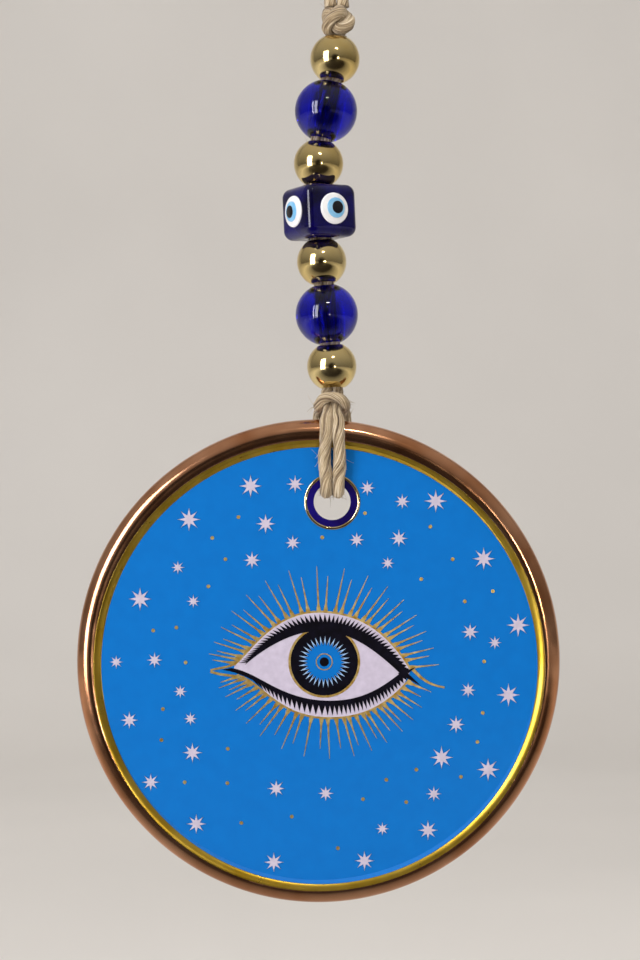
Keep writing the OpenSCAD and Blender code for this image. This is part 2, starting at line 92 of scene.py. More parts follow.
def skin(rows, wrap=False, extra=None):
    """A closed skin over a grid of points. Each row is a closed ring, and rows follow one another.
    With wrap the last row joins the first; otherwise each end closes on a point in its middle.
    extra holds values at the same grid points. Faces are turned so that they look outward."""
    n, m = rows.shape[:2]
    points = rows.reshape(-1, 3)
    values = {k: v.reshape(n * m, -1) for k, v in (extra or {}).items()}
    i = np.arange(n if wrap else n - 1)[:, None]
    j = np.arange(m)[None, :]
    a, b = i * m + j, i * m + (j + 1) % m
    c, d = ((i + 1) % n) * m + (j + 1) % m, ((i + 1) % n) * m + j
    quads = np.stack([a, b, c, d], -1).reshape(-1, 4)
    tris = np.zeros((0, 3), int)
    if not wrap:
        points = np.vstack([points, rows[0].mean(0), rows[-1].mean(0)])
        values = {k: np.vstack([v, v[:m].mean(0), v[-m:].mean(0)]) for k, v in values.items()}
        k = np.arange(m)
        first = np.stack([k, np.full(m, n * m), (k + 1) % m], -1)
        last = np.stack([(n - 1) * m + k, (n - 1) * m + (k + 1) % m, np.full(m, n * m + 1)], -1)
        tris = np.vstack([first, last])
    middle = points.mean(0)
    p = points - middle
    volume = sum(
        np.einsum("ij,ij->i", p[f[:, 0]], np.cross(p[f[:, 1]], p[f[:, 2]])).sum()
        for f in (quads[:, [0, 1, 2]], quads[:, [0, 2, 3]], tris)
    )
    if volume < 0:
        quads, tris = quads[:, ::-1], tris[:, ::-1]
    return points, quads, tris, values


def piece(name, parts, look, body=None, replaces=()):
    """One smooth mesh from several skins, in millimetres, that rides on a body and stands for CAD nodes."""
    points, quads, tris, values, start = [], [], [], {}, 0
    for p, q, t, v in parts:
        points.append(p)
        quads.append(q + start)
        tris.append(t + start)
        for k in v:
            values.setdefault(k, []).append(v[k])
        start += len(p)
    points, quads, tris = np.vstack(points) * MM, np.vstack(quads), np.vstack(tris)
    mesh = bpy.data.meshes.new(name)
    mesh.vertices.add(len(points))
    mesh.vertices.foreach_set("co", points.ravel())
    mesh.loops.add(quads.size + tris.size)
    mesh.loops.foreach_set("vertex_index", np.concatenate([quads.ravel(), tris.ravel()]))
    mesh.polygons.add(len(quads) + len(tris))
    starts = np.concatenate([np.arange(len(quads)) * 4, quads.size + np.arange(len(tris)) * 3])
    mesh.polygons.foreach_set("loop_start", starts)
    mesh.update(calc_edges=True)
    mesh.polygons.foreach_set("use_smooth", np.ones(len(starts), bool))
    for k, v in values.items():
        v = np.vstack(v)
        kind = "FLOAT_VECTOR" if v.shape[1] == 3 else "FLOAT"
        field = mesh.attributes.new(k, kind, "POINT")
        field.data.foreach_set("vector" if v.shape[1] == 3 else "value", v.ravel().astype(np.float32))
    mesh.validate()
    mesh.materials.append(look)
    o = bpy.data.objects.new(name, mesh)
    bpy.context.scene.collection.objects.link(o)
    if body:
        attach(o, body)
    if replaces:
        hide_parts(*replaces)
    return o


def revolve(profile, steps=128):
    """Rows of a surface of revolution about z: each profile point (radius, height) goes round in a circle."""
    a = np.linspace(0, 2 * np.pi, steps, endpoint=False)
    r, z = profile[:, 0:1], profile[:, 1:2]
    return np.stack([r * np.cos(a), r * np.sin(a), z + 0 * a], -1)


def curve3(p0, p1, p2, n):
    """Points on a quadratic Bezier curve from p0 to p2 with control point p1."""
    t = np.linspace(0, 1, n)[:, None]
    return (1 - t) ** 2 * np.array(p0) + 2 * t * (1 - t) * np.array(p1) + t**2 * np.array(p2)


def part_way(t, from_t, to_t, start, end):
    """The point at t on a straight run that is at start at from_t and at end at to_t."""
    return (to_t - t) / (to_t - from_t) * start + (t - from_t) / (to_t - from_t) * end


def spline(points, step):
    """A smooth curve through the points, resampled at even steps: Catmull-Rom, with each knot past the one
    before by the square root of the distance between their points."""
    p = np.array(points, float)
    p = np.vstack([2 * p[0] - p[1], p, 2 * p[-1] - p[-2]])
    out = []
    for k in range(1, len(p) - 2):
        four = p[k - 1 : k + 3]
        apart = np.linalg.norm(np.diff(four[:, :3], axis=0), axis=1)
        knot = np.concatenate([[0], np.cumsum(apart**0.5)])
        t = np.linspace(knot[1], knot[2], 24, endpoint=False)[:, None]
        pairs = [part_way(t, knot[i], knot[i + 1], four[i], four[i + 1]) for i in range(3)]
        threes = [part_way(t, knot[i], knot[i + 2], pairs[i], pairs[i + 1]) for i in range(2)]
        out.append(part_way(t, knot[1], knot[2], threes[0], threes[1]))
    p = np.vstack(out + [p[-2][None]])
    s = np.concatenate([[0], np.cumsum(np.linalg.norm(np.diff(p[:, :3], axis=0), axis=1))])
    even = np.linspace(0, s[-1], int(s[-1] / step) + 2)
    return np.stack([np.interp(even, s, p[:, k]) for k in range(p.shape[1])], -1)


def carried(path):
    """The direction of a path at each point, and two directions square to it, carried along unturned."""
    t = along(np.gradient(path, axis=0))
    u = np.zeros_like(t)
    v = np.array([0.0, -1.0, 0.05])
    for i in range(len(path)):
        v = v - t[i] * (v @ t[i])
        v /= np.linalg.norm(v)
        u[i] = v
    return t, u, np.cross(t, u)


def laid_twine(route, columns=56, lay=25.0, step=0.3):
    """Two plies laid round each other. Round the twine the section follows two lobes, with finer ridges of
    fibre: 1.08 of the twine's radius, times 0.93 plus 0.07 of the angle's cosine to the power 0.7. The lobes
    turn once in each lay length. route is points with the twine's radius fourth.
    Returns the centre line, the rows and their values."""
    route = spline(route, step)
    path, radius = route[:, :3], route[:, 3:4]
    s = np.concatenate([[0], np.cumsum(np.linalg.norm(np.diff(path, axis=0), axis=1))])[:, None]
    t, u, w = carried(path)
    a = np.linspace(0, 2 * np.pi, columns, endpoint=False)[None, :]
    turn = a - 2 * np.pi * s / lay + 0.45 * np.sin(s * 0.31) + 0.2 * np.sin(s * 0.83 + 1)
    lobe = np.abs(np.cos(turn)) ** 0.7
    fine = 0.03 * np.sin(5 * turn + 1.3 * np.sin(s * 0.4))
    fine = fine + 0.025 * np.sin(9 * turn + 2 * np.sin(s * 0.27 + 2))
    uneven = 1 + fine + 0.02 * np.sin(13 * turn + s) + 0.03 * np.sin(s * 0.7) + 0.02 * np.sin(s * 1.7 + 1)
    r = 1.08 * radius * (0.93 + 0.07 * lobe) * uneven
    rows = path[:, None, :] + (r * np.cos(a))[..., None] * u[:, None, :]
    rows = rows + (r * np.sin(a))[..., None] * w[:, None, :]
    fibre = np.stack([np.cos(turn), np.sin(turn), s + 0 * a], -1)
    return path, rows, {"fibre": fibre, "ply": lobe[..., None]}


def cut(laid, start, stop):
    """A stretch of laid twine between two row numbers, with both ends closed."""
    path, rows, values = laid
    return skin(rows[start:stop], extra={k: v[start:stop] for k, v in values.items()})


def stray_fibres(laid, start, stop, count, longest=4.5):
    """Thin loose hairs that stand off the twine: each begins on its surface and bends along it as it rises,
    as three-sided tubes that taper to their ends."""
    path = laid[0]
    t, u, w = carried(path)
    parts = []
    turn = np.linspace(0, 2 * np.pi, 3, endpoint=False)
    for _ in range(count):
        i = rng.integers(start, stop)
        a = rng.uniform(0, 2 * np.pi)
        out = math.cos(a) * u[i] + math.sin(a) * w[i]
        side = np.cross(t[i], out)
        length = rng.uniform(0.25, 1) * longest
        f = np.linspace(0, 1, 7)[:, None]
        way = t[i] * rng.choice([-1, 1])
        bend = rng.uniform(-0.5, 0.5)
        forward = way * f * rng.uniform(0.4, 1)
        outward = out * f**1.3 * rng.uniform(0.08, 0.5)
        centre = path[i] + out * 1.0 + length * (forward + outward + side * bend * f**2)
        _, cu, cw = carried(centre)
        r = rng.uniform(0.045, 0.085) * (1 - 0.75 * f)
        ring = centre[:, None] + r[..., None] * (
            np.cos(turn)[None, :, None] * cu[:, None] + np.sin(turn)[None, :, None] * cw[:, None]
        )
        fibre = np.broadcast_to(np.array([math.cos(a), math.sin(a), float(i)]), ring.shape).copy()
        parts.append(skin(ring, extra={"fibre": fibre, "ply": np.ones(ring.shape[:2] + (1,))}))
    return parts


def rows_at(laid, z, side):
    """The first row number past the height z, going down or up the path."""
    h = laid[0][:, 2]
    return int(np.argmax(h < z)) if side == "down" else len(h) - int(np.argmax(h[::-1] < z))


# ---- Materials ----


def rgb(code):
    """An sRGB hex colour as the linear colour that a shader socket holds."""
    parts = [int(code[i : i + 2], 16) / 255 for i in (1, 3, 5)]
    return tuple(c / 12.92 if c <= 0.04045 else ((c + 0.055) / 1.055) ** 2.4 for c in parts) + (1.0,)


def add(tree, kind, settings=None, **inputs):
    """Adds a shader node, sets its properties, and sets or links its inputs. An input goes by its name, with
    spaces as underscores, or by its number after the letter i."""
    n = tree.nodes.new(kind)
    for k, v in (settings or {}).items():
        setattr(n, k, v)
    for k, v in inputs.items():
        name = k.replace("_", " ")
        socket = n.inputs[int(name[1:])] if name[0] == "i" and name[1:].isdigit() else n.inputs[name]
        if isinstance(v, bpy.types.NodeSocket):
            tree.links.new(v, socket)
        else:
            socket.default_value = v
    return n


def material(name, **inputs):
    """A material with one Principled shader. Returns the material, its tree and the shader."""
    m = bpy.data.materials.new(name)
    m.use_nodes = True
    tree = m.node_tree
    tree.nodes.clear()
    shader = add(tree, "ShaderNodeBsdfPrincipled", None, **inputs)
    add(tree, "ShaderNodeOutputMaterial", None, Surface=shader.outputs["BSDF"])
    return m, tree, shader


def noise(tree, scale, detail=3.0, roughness=0.5, vector=None):
    """Noise whose scale is in features per metre of the object, or over another vector."""
    vector = vector or add(tree, "ShaderNodeTexCoord").outputs["Object"]
    n = add(tree, "ShaderNodeTexNoise", None, Vector=vector, Scale=scale, Detail=detail, Roughness=roughness)
    return n.outputs["Fac"]


def ramp(tree, value, *stops):
    """A colour ramp over (position, hex colour) stops."""
    n = add(tree, "ShaderNodeValToRGB", None, Fac=value)
    for _ in range(len(stops) - 2):
        n.color_ramp.elements.new(0.5)
    for e, (at, colour) in zip(n.color_ramp.elements, stops):
        e.position = at
        e.color = rgb(colour)
    return n.outputs["Color"]


def span(tree, value, low, high):
    """A value from 0 to 1 spread from low to high."""
    n = add(tree, "ShaderNodeMapRange", None, Value=value, To_Min=low, To_Max=high)
    return n.outputs["Result"]


def bump(tree, height, distance):
    """A bump of that distance in metres, as a normal."""
    return add(tree, "ShaderNodeBump", None, Height=height, Distance=distance, Strength=1.0).outputs["Normal"]


def coated(name, dark, light, scale, roughness=0.4, wave=0.00002, coat=1.0):
    """A printed or glazed ceramic colour under a clear glossy glaze that flows in slow waves."""
    m, tree, s = material(name, Roughness=roughness, Specular_IOR_Level=0.1, Coat_Weight=coat,
                          Coat_Roughness=0.03)
    tree.links.new(ramp(tree, noise(tree, scale), (0.3, dark), (0.7, light)), s.inputs["Base Color"])
    tree.links.new(bump(tree, noise(tree, 90, 1.0), wave), s.inputs["Coat Normal"])
    return m


def metal(name, dark, light, scale, roughness, uneven):
    """A metal film or plating, a little uneven in colour, polish and level. roughness is its least and most,
    and uneven is the scale and the height in metres of its waves."""
    m, tree, s = material(name, Metallic=1.0)
    tree.links.new(ramp(tree, noise(tree, scale), (0.3, dark), (0.7, light)), s.inputs["Base Color"])
    tree.links.new(span(tree, noise(tree, scale * 2.3), *roughness), s.inputs["Roughness"])
    tree.links.new(bump(tree, noise(tree, uneven[0], 2.0), uneven[1]), s.inputs["Normal"])
    return m


def glass(name, colour, deep, roughness=0.02, clear=1.0):
    """Pressed glass with faint streaks of a deeper colour."""
    m, tree, s = material(name, Roughness=roughness, IOR=1.5, Transmission_Weight=clear)
    tree.links.new(ramp(tree, noise(tree, 160, 2.0), (0.35, deep), (0.65, colour)), s.inputs["Base Color"])
    tree.links.new(bump(tree, noise(tree, 120, 1.0), 0.00002), s.inputs["Normal"])
    return m


# White earthenware under a clear glaze, bare to see on the back and inside the hole
m_ceramic = coated("white_glazed_ceramic", "#EAE6DF", "#F1EEE8", 60, 0.35)
# Rose-gold lustre fired over the glaze
m_lustre = metal("copper_lustre", "#B87A50", "#DDA680", 90, (0.12, 0.2), (80, 0.0002))
# Yellow gold foil at the edge of the transfer
m_foil = metal("gold_foil", "#BE9A2C", "#D4B348", 150, (0.24, 0.34), (300, 0.00001))
# Blue transfer under glaze
m_field = coated("blue_print", "#0069BA", "#006DBF", 300, 0.5)
# Navy glaze round the hole
m_navy = coated("navy_glaze", "#0C0048", "#14086A", 200, 0.3)
# White ink
m_white = coated("white_print", "#B6AEC0", "#C3BBCD", 700, 0.5, coat=0.5)
# Pale blue ink of the iris rays
m_pale_print = coated("pale_blue_print", "#8FB0D6", "#A6C2E0", 700, 0.5, coat=0.5)
# Black ink
m_ink = coated("black_print", "#030208", "#0A0818", 600, 0.4, coat=0.6)
# Gold ink, burnished
m_gold_ink = metal("gold_print", "#C89A38", "#F4DC94", 900, (0.3, 0.5), (900, 0.00003))
# The same gold laid on thick, so that it shines
m_bright_ink = metal("bright_gold_print", "#D8BE84", "#F2E2B8", 500, (0.06, 0.14), (400, 0.00004))
# Pale gold plating on hollow beads
m_gold = metal("gold_plating", "#DCC078", "#EDD89C", 120, (0.08, 0.14), (260, 0.00004))
# Cobalt blue glass, clear
m_cobalt = glass("cobalt_glass", "#0C12E0", "#0306A0")
# Deep navy glass of the cube, nearly opaque
m_navy_glass = glass("opaque_navy_glass", "#0E0668", "#04012E", 0.05, 0.35)


def fused_glass(name, dark, light):
    """Opaque coloured glass dropped on the bead while hot."""
    m, tree, s = material(name, Roughness=0.12, Coat_Weight=0.6, Coat_Roughness=0.03)
    tree.links.new(ramp(tree, noise(tree, 500), (0.3, dark), (0.7, light)), s.inputs["Base Color"])
    return m


# White glass of the cube's eyes
m_white_glass = fused_glass("white_glass", "#E6E6EA", "#F6F6F6")
# Pale blue glass on the white
m_pale_glass = fused_glass("pale_blue_glass", "#6FB4E2", "#98CBEC")
# Black glass on the pale blue
m_black_glass = fused_glass("black_glass", "#02020A", "#0A0A14")


def jute():
    """Tan jute: fibres run along the plies, with painted shade darkening the grooves between the plies."""
    m, tree, s = material("jute_twine", Roughness=0.8, Sheen_Weight=0.25, Sheen_Roughness=0.5)
    fibre = add(tree, "ShaderNodeAttribute", {"attribute_name": "fibre"}).outputs["Vector"]
    streak = add(tree, "ShaderNodeVectorMath", {"operation": "MULTIPLY"}, i0=fibre, i1=(2.6, 2.6, 0.12))
    hair = noise(tree, 1.6, 5.0, 0.68, streak.outputs["Vector"])
    colour = ramp(tree, hair, (0.3, "#4E3C29"), (0.43, "#988262"), (0.54, "#C8B492"), (0.68, "#F4E8D0"))
    # Painted shade: the colour is multiplied darker where the section dips into the grooves between the plies
    ply = add(tree, "ShaderNodeAttribute", {"attribute_name": "ply"}).outputs["Fac"]
    painted_groove_shade = ramp(tree, ply, (0.0, "#7A6448"), (0.5, "#FFFFFF"))
    # Of a Mix node, inputs 0, 6 and 7 and output 2 are the factor, the two colours and the result
    multiply = {"data_type": "RGBA", "blend_type": "MULTIPLY"}
    mix = add(tree, "ShaderNodeMix", multiply, i0=1.0, i6=colour, i7=painted_groove_shade)
    tree.links.new(mix.outputs[2], s.inputs["Base Color"])
    tree.links.new(bump(tree, hair, 0.0004), s.inputs["Normal"])
    return m


m_jute = jute()

# ---- Twine ----


def mirrored(points, x, z=0.0):
    """The other strand's points: the same to the left of a line at x, or of the leaning loop's middle where
    z is how far that goes sideways for each step down."""
    return [(2 * (x if z == 0 else -z * p[2]) - p[0], p[1], p[2], p[3]) for p in points]


# The right strand's centre line, as points in millimetres with the twine's radius fourth. It is the CAD
# part's route, but for three points of HITCH that are moved by up to 0.3 mm, as soft twine settles.
TAIL = [(3.4, -1.6, 17, TWINE_R), (1.9, -0.5, 12.5, TWINE_R), (1.24, 0, 9.2, TWINE_R)]
CROWN = [(1.24, 0, 4.4, TWINE_R), (1.5, 0, 2.5, TWINE_R), (2.5, 0, 1.3, TWINE_R), (2.78, 0, -1, TWINE_R),
         (2.78, 0, -5, TWINE_R)]
LEGS = [(3.386, 0, -8, TWINE_R), (4.679, 0, -26, TWINE_R), (4.64, 0, -56, TWINE_R)]
STRING = [(TWINE_X[i] + 1.02, 0, JOINT_Z[i], CORE_R) for i in range(7, -1, -1)]
HITCH = [(3.64, 0.1, -136.165, CORE_R), (3.3, -0.4, -137.665, TIGHT_R), (3.3, -1.6, -138.465, TIGHT_R),
         (3.3, -3.3, -140.365, TIGHT_R), (3.64, -4.74, -142.365, TWINE_R), (3.64, -5.44, -144.665, TWINE_R),
         (3.98, -4.74, -150.265, TWINE_R), (3.72, -4.44, -153.565, TWINE_R),
         (3.64, -4.44, -155.665, TWINE_R), (3.64, -3.34, -156.715, TWINE_R), (3.64, 0, -156.565, TWINE_R),
         (3.64, 3.28, -156.765, TWINE_R), (3.64, 4.33, -155.715, TWINE_R), (3.74, 4.38, -153.765, TWINE_R),
         (4.3, 4.28, -150.765, TWINE_R), (5.3, 4.38, -144.365, TWINE_R), (5.45, 4.08, -140.7, 0.88),
         (5.2, 1.9, -139.6, 0.84), (5.15, -2.2, -138.665, TIGHT_R), (4.05, -3.55, -137.465, TIGHT_R)]
right_loop = laid_twine(TAIL + CROWN + LEGS)
left_loop = laid_twine(mirrored(TAIL + CROWN, 0) + mirrored(LEGS, 0, LOOP_LEAN / LOOP_DROP))
left_string = [(2 * TWINE_X[7 - i] - p[0], p[1], p[2], p[3]) for i, p in enumerate(STRING)]
lower = laid_twine(
    STRING + HITCH + [(2.4, -3.75, -137.165, TIGHT_R)] + mirrored(HITCH, HOLE_X)[::-1] + left_string[::-1]
)


def tied(x, z, turn=0.0, middle=1.55, swing=0.95, rise=1.75):
    """A tight overhand knot: the twine follows a trefoil, which goes twice round an upright axis,
    middle + swing cos 3t out from it, and rise sin 3t up and down."""
    t = np.linspace(0, 2 * np.pi, 40) + turn
    r = middle + swing * np.cos(3 * t)
    return laid_twine(
        np.stack([x + r * np.cos(2 * t), r * np.sin(2 * t), z + rise * np.sin(3 * t), TWINE_R + 0 * t], -1)
    )


def strand(name, laid, start, stop, hairs, body=None, between=None, replaces=()):
    """A stretch of twine and its stray fibres, which ride a body; with between they stay unattached, and the
    bodies and heights in between are not used.
    """
    made = []
    for o_name, parts in ((name, [cut(laid, start, stop)]),
                          (name + "_fibres", stray_fibres(laid, start + 2, stop - 2, hairs))):
        o = piece(o_name, parts, m_jute, body, ())
        if between:
            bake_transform(o)
        made.append(o)
    if replaces:
        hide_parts(*replaces)
    return made


def line(laid, start, stop):
    """The centre line of a stretch, as points in metres."""
    return [list(p * MM) for p in laid[0][start:stop]]


# Heights at which a loop strand goes from tail to crown, to shoulder and to leg
LOOP_CUTS = (4.4, -5, -24)
loops = {}
for hand, laid in (("right", right_loop), ("left", left_loop)):
    at = [0, *[rows_at(laid, z, "down") for z in LOOP_CUTS], len(laid[0])]
    loops[hand] = [
        strand(f"tail_{hand}", laid, at[0], at[1] + 1, 14, "nail_loop"),
        strand(f"crown_{hand}", laid, at[1], at[2] + 1, 6, None, ("nail_loop", "loop_upper", 1, -5)),
        strand(f"shoulder_{hand}", laid, at[2], at[3] + 1, 10, None,
               ("loop_upper", "loop_lower", -5.5, -10.5)),
        strand(f"leg_{hand}", laid, at[3], at[4], 24, None, ("loop_lower", "string", -26, -54)),
    ]
    loops[hand].append(line(laid, at[3], at[4])[::-1])
for k, stretch in enumerate(("twine_tails", "loop_crown", "loop_shoulders", "loop_legs")):
    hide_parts(stretch)
knot = tied(0, 6.7)
end_knot = strand("end_knot_tied", knot, 0, len(knot[0]), 12, "nail_loop", None, ("end_knot",))
knot = tied(LOOP_LEAN, -59, 0.5)
bead_knot = strand("bead_knot_tied", knot, 0, len(knot[0]), 16, "string", None, ("bead_knot",))

# Height just under the lowest bead, where each strand goes from the string to the hitch
NECK_Z = -135.6
down = rows_at(lower, NECK_Z, "down")
up = rows_at(lower, NECK_Z, "up")
neck = ("string", "hitch", -134, NECK_Z)
string_right = strand("string_right", lower, 0, down + 1, 20, None, neck, ("bead_strands",))
string_left = strand("string_left", lower, up - 1, len(lower[0]), 20, None, neck)
hitch = strand("hitch_twine", lower, down, up, 150, "hitch", None,
               ("neck_strands", "hitch_strands", "hitch_legs", "hitch_bight"))

# ---- Beads ----

# The rounded mouth of a bore: its width on a round bead and on the cube, and its depth
ROUND_LIP, CUBE_LIP, LIP_DEPTH = 0.32, 0.35, 0.5


def turned(rows, degrees):
    """Rows turned about the upright axis."""
    a = math.radians(degrees)
    turn = np.array([[math.cos(a), -math.sin(a), 0], [math.sin(a), math.cos(a), 0], [0, 0, 1]])
    return rows @ turn.T


def strung(rows, i):
    """Rows made about the origin, moved to bead i's place and tilt on the string."""
    a = math.radians(BEAD_TILT[i])
    turn = np.array([[math.cos(a), 0, math.sin(a)], [0, 1, 0], [-math.sin(a), 0, math.cos(a)]])
    return rows @ turn.T + np.array([BEAD_X[i], 0, BEAD_Z[i]])


def bored_sphere(radius):
    """Profile of a bored round bead: an arc of the sphere, a small rounded lip at each mouth, the bore."""
    top = math.acos((BORE_R + ROUND_LIP) / radius)
    lat = np.linspace(-top, top, 72)
    arc = radius * np.stack([np.cos(lat), np.sin(lat)], -1)
    mouth = math.sqrt(radius**2 - BORE_R**2)
    below = mouth - LIP_DEPTH
    lip = curve3(arc[-1], (BORE_R, mouth), (BORE_R, below), 8)[1:]
    wall = np.stack([np.full(8, BORE_R), np.linspace(below, -below, 8)], -1)[1:-1]
    return np.vstack([arc, lip, wall, lip[::-1] * [1, -1]])


def bored_cube():
    """A rounded cube with a bore, as rings round the bore. Each ring is a square with round corners,
    the corner's centre plus the edge radius along the normal; it closes over the top and bottom edges on
    quarter circles, and its faces swell a little in the middle."""
    core = CUBE_HALF - CUBE_EDGE
    ends, normals, across = [], [], []
    for q in range(4):
        a = np.radians(90 * q)
        c, s = math.cos(a), math.sin(a)
        turn = np.array([[c, -s], [s, c]])
        e = np.linspace(-1, 1, 25)[:-1]
        ends.append(np.stack([np.full(24, core), core * e], -1) @ turn.T)
        normals.append(np.tile([1.0, 0.0], (24, 1)) @ turn.T)
        across.append(e)
        b = np.linspace(0, np.pi / 2, 13)[:-1]
        ends.append(np.tile([core, core], (12, 1)) @ turn.T)
        normals.append(np.stack([np.cos(b), np.sin(b)], -1) @ turn.T)
        across.append(np.ones(12))
    ends, normals, across = np.vstack(ends), np.vstack(normals), np.concatenate(across)
    angle = np.arctan2(ends[:, 1], ends[:, 0])
    radial = np.stack([np.cos(angle), np.sin(angle)], -1)
    flat = CUBE_HALF_H - CUBE_EDGE
    rows = []

    def level(xy, z):
        rows.append(np.column_stack([xy, np.full(len(xy), z)]))

    for z in np.linspace(0, flat, 14):
        swell = 0.16 * (1 - across**2) * math.cos(math.pi * z / (2 * CUBE_HALF_H)) ** 2
        level(ends + normals * (CUBE_EDGE + swell[:, None]), z)
    for b in np.linspace(0, math.pi / 2, 12)[1:]:
        level(ends + normals * CUBE_EDGE * math.cos(b), flat + CUBE_EDGE * math.sin(b))
    lip_r = BORE_R + CUBE_LIP
    for f in np.linspace(0, 1, 12)[1:]:
        level(ends * (1 - f) + radial * lip_r * f, CUBE_HALF_H + 0.08 * math.sin(math.pi * f))
    lip = curve3((lip_r, CUBE_HALF_H), (BORE_R, CUBE_HALF_H), (BORE_R, CUBE_HALF_H - LIP_DEPTH), 7)
    for r, z in lip[1:]:
        level(radial * r, z)
    half = np.array(rows)
    return np.vstack([half, half[:0:-1] * [1, 1, -1]])


for i, name in enumerate(BEADS):
    if name == "cube_bead":
        rows, look, slot = turned(bored_cube(), CUBE_TURN), m_navy_glass, "opaque_navy_glass"
    elif name.startswith("gold"):
        rows, look, slot = revolve(bored_sphere(GOLD_R)), m_gold, "gold_plating"
    else:
        rows, look, slot = revolve(bored_sphere(BLUE_R)), m_cobalt, "cobalt_glass"
    piece(name + "_body", [skin(strung(rows, i), wrap=True)], look, name, (name,))


def drop(radius, height, swell):
    """Profile of a flattened drop of glass: a round edge and a slightly domed top, r = radius at the foot."""
    a = np.linspace(0, math.pi / 2, 8)
    edge = np.stack([radius - height * (1 - np.cos(a)), height * np.sin(a)], -1)
    r = np.linspace(radius - height, 0.02, 16)[1:]
    top = np.stack([r, height + swell * (1 - (r / (radius - height)) ** 2)], -1)
    foot = np.array([[0.02, -0.25], [radius * 0.5, -0.25], [radius, -0.25]])
    return np.vstack([foot, edge, top])


def eye_dots(name, radius, height, swell, foot, off, look):
    """The same drop of glass on each side face of the cube, raised by foot, and off the face's middle by a
    different amount across and upward on each."""
    parts = []
    for k, (x, z) in enumerate(off):
        rows = revolve(drop(radius, height, swell), 72)
        rows = np.stack([rows[..., 0] + x, -CUBE_HALF - foot - rows[..., 2], rows[..., 1] + z], -1)
        parts.append(skin(strung(turned(rows, CUBE_TURN + 90 * k), BEADS.index("cube_bead"))))
    piece(name + "_drops", parts, look, "cube_bead", (name,))


eye_dots("cube_eye_whites", 3.25, 0.35, 0.25, 0.1,
         [(0, 0.1), (0, 0), (0.1, 0), (0, 0.1)], m_white_glass)
eye_dots("cube_eye_blues", 2.1, 0.12, 0.1, 0.58,
         [(0.15, 0.2), (0, 0.1), (0.1, -0.1), (-0.15, 0.1)], m_pale_glass)
eye_dots("cube_eye_pupils", 1.3, 0.12, 0.06, 0.74,
         [(0.45, 0.3), (0.1, 0.3), (0.2, -0.2), (-0.5, 0.1)], m_black_glass)

# ---- Disc ----


def on_disc(rows):
    """Rows about the disc's centre, face up, moved to where the disc hangs with its face to the front."""
    x, up, out = rows[..., 0], rows[..., 1] - HOLE_UP, rows[..., 2]
    return np.stack([
        HOLE_X + x * math.cos(LEAN) + up * math.sin(LEAN),
        DISC_T / 2 - out,
        HOLE_Z - x * math.sin(LEAN) + up * math.cos(LEAN),
    ], -1)


def print_edge(radius, a):
    """Distance from the disc's centre, at each angle, to a circle about the printed field's own centre."""
    cx, cy = FIELD_OFF
    return cx * np.cos(a) + cy * np.sin(a) + np.sqrt(radius**2 - (cx * np.sin(a) - cy * np.cos(a)) ** 2)


def rim_skin(inner, outer):
    """A thin coat between two print circles, or from one over the rim and down the edge. Across the face
    the section is flat; on the rim it is the section's centre plus its radius along the normal."""
    a = np.linspace(0, 2 * np.pi, 480, endpoint=False)
    first = print_edge(inner, a)
    last = print_edge(outer, a) if outer else RIM_RC + 0 * a
    r = first + (last - first) * np.linspace(0, 1, 20)[:, None]
    b = np.arcsin(np.clip((r - RIM_RC) / RIM_R, -1, 1))
    flat = r < RIM_RC - math.sqrt(RIM_R**2 - (DISC_T - RIM_ZC) ** 2)
    z = np.where(flat, DISC_T, RIM_ZC + RIM_R * np.cos(b))
    nr, nz = np.where(flat, 0, np.sin(b)), np.where(flat, 1, np.cos(b))
    if outer is None:
        b = np.linspace(0, np.pi / 2, 30)[1:, None] + 0 * a
        down = np.linspace(RIM_ZC, LUSTRE_LOW, 8)[1:, None] + 0 * a
        r = np.vstack([r, RIM_RC + RIM_R * np.sin(b), DISC_R + 0 * down])
        z = np.vstack([z, RIM_ZC + RIM_R * np.cos(b), down])
        nr, nz = np.vstack([nr, np.sin(b), 1 + 0 * down]), np.vstack([nz, np.cos(b), 0 * down])
    coat = [np.stack([rr * np.cos(a), rr * np.sin(a), zz], -1)
            for rr, zz in ((r, z), (r - COAT * nr, z - COAT * nz))]
    return skin(on_disc(np.vstack([coat[0], coat[1][::-1]])), wrap=True)


piece("lustre_rim_coat", [rim_skin(FIELD_R + FOIL_W, None)], m_lustre, "disc",
      ("lustre_rim",))
piece("foil_band_film", [rim_skin(FIELD_R, FIELD_R + FOIL_W)], m_foil, "disc", ("foil_band",))

# The gold line round the hole stands up from the glaze: half an ellipse in section, swept round the hole,
# on a foot let into the glaze
LINE_R, LINE_HALF_W, LINE_H = 5.5, 0.32, 0.24
FOOT_HALF_W, FOOT_DEPTH = 0.3, 0.08
b = np.linspace(0, np.pi, 14)
section = np.stack([LINE_R - LINE_HALF_W * np.cos(b), DISC_T + LINE_H * np.sin(b)], -1)
foot = [[LINE_R + side * FOOT_HALF_W, DISC_T - FOOT_DEPTH] for side in (-1, 1)]
section = np.vstack([foot[0], section, foot[1]])
line_rows = np.swapaxes(revolve(section, 160), 0, 1) + np.array([0, HOLE_UP, 0])
piece("hole_outline_line", [skin(on_disc(line_rows), wrap=True)], m_bright_ink, "disc",
      ("hole_outline",))

# The printed and glazed nodes keep their CAD shapes
for name, look in (
    ("ceramic_disc", m_ceramic), ("blue_field", m_field), ("hole_ring", m_navy),
    ("gold_dots", m_gold_ink), ("star_tips", m_gold_ink), ("white_stars", m_white), ("eye_white", m_white),
    ("eye_gold_lines", m_gold_ink), ("eyelids", m_ink), ("iris_ring", m_gold_ink), ("iris_ground", m_ink),
    ("iris_rays", m_pale_print), ("iris_core", m_field), ("pupil_ring", m_gold_ink), ("pupil", m_ink),
):
    NODE[name].data.materials.clear()
    NODE[name].data.materials.append(look)

# ---- Floor and light ----


